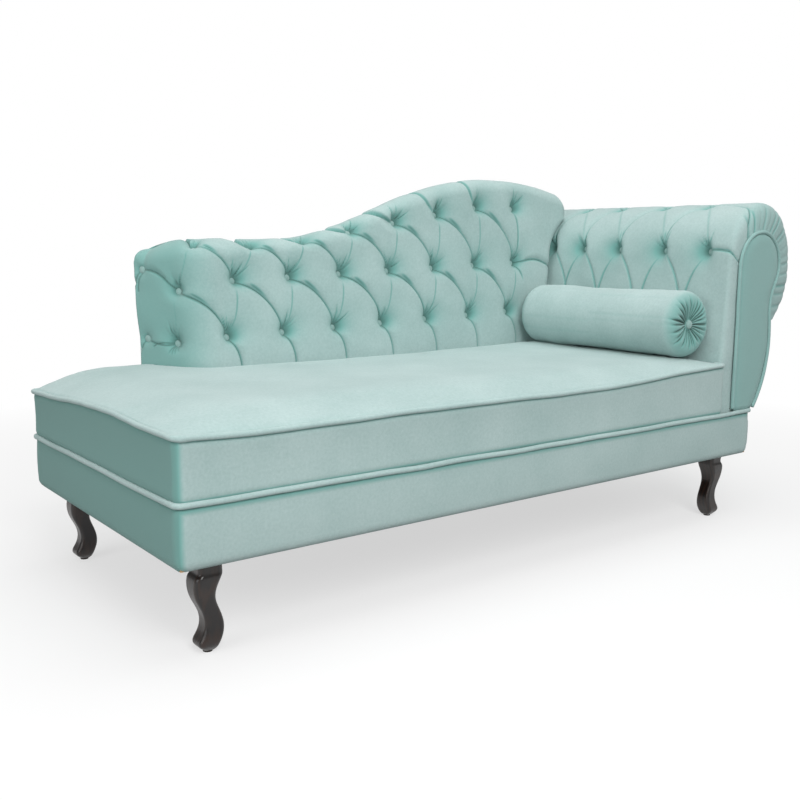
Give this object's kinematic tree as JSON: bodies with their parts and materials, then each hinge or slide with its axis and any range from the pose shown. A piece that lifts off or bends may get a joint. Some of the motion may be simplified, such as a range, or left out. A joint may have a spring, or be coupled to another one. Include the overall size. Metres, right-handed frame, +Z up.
{
  "type": "recamier",
  "caption": "Upholstered recamier: long seat on cabriole legs, wave-topped tufted back, scrolled arm at one end and a loose bolster.",
  "frame": {"origin": "bottom centre of the whole piece's box, on the floor", "axes": "+X along the length towards the scrolled arm, +Y towards the back, +Z up"},
  "size_m": [1.663, 0.723, 0.826],
  "materials": {
    "velvet": "matt velvet with a soft nap",
    "button_velvet": "matt velvet over button moulds",
    "dark_wood": "dark polished stain",
    "frame_timber": "sawn softwood",
    "plywood": "sanded board",
    "foam": "open-cell foam and wadding",
    "webbing": "woven elastic webbing",
    "dust_cloth": "black non-woven sheet",
    "zinc_steel": "zinc plated",
    "black_plate": "black stamped plate",
    "felt": "pressed felt"
  },
  "bodies": {
    "recamier": {"base_cover": "velvet", "base_welt": "velvet", "seat_cover": "velvet", "seat_welt": "velvet", "back_pad": "velvet", "back_panel": "velvet", "arm_pad": "velvet", "arm_outside_cover": "velvet", "arm_facing": "velvet", "arm_facing_welt": "velvet", "arm_rear_panel": "velvet", "back_buttons": "button_velvet", "arm_buttons": "button_velvet", "front_left_leg": "dark_wood", "front_right_leg": "dark_wood", "rear_left_leg": "dark_wood", "rear_right_leg": "dark_wood", "base_front_rail": "frame_timber", "base_rear_rail": "frame_timber", "base_left_rail": "frame_timber", "base_right_rail": "frame_timber", "base_cross_rails": "frame_timber", "base_corner_blocks": "frame_timber", "seat_rear_bearer": "frame_timber", "seat_arm_bearer": "frame_timber", "back_posts": "frame_timber", "back_top_rail": "frame_timber", "back_bottom_rail": "frame_timber", "arm_battens": "frame_timber", "back_board": "plywood", "arm_front_board": "plywood", "arm_rear_board": "plywood", "arm_inner_panel": "plywood", "arm_roll_former": "plywood", "seat_foam": "foam", "seat_webbing": "webbing", "base_dust_cover": "dust_cloth", "base_rail_screws": "zinc_steel", "back_lag_screws": "zinc_steel", "arm_lag_screws": "zinc_steel", "leg_plate_screws": "zinc_steel", "leg_studs": "zinc_steel", "leg_plates": "black_plate", "leg_glides": "felt"},
    "bolster": {"bolster_filling": "foam", "bolster_cover": "velvet", "bolster_buttons": "button_velvet"}
  },
  "joints": [
    {"name": "bolster_lift", "type": "slide", "parent": "recamier", "child": "bolster", "axis": [0, 0, 1], "range_m": [0, 0.4]}
  ]
}
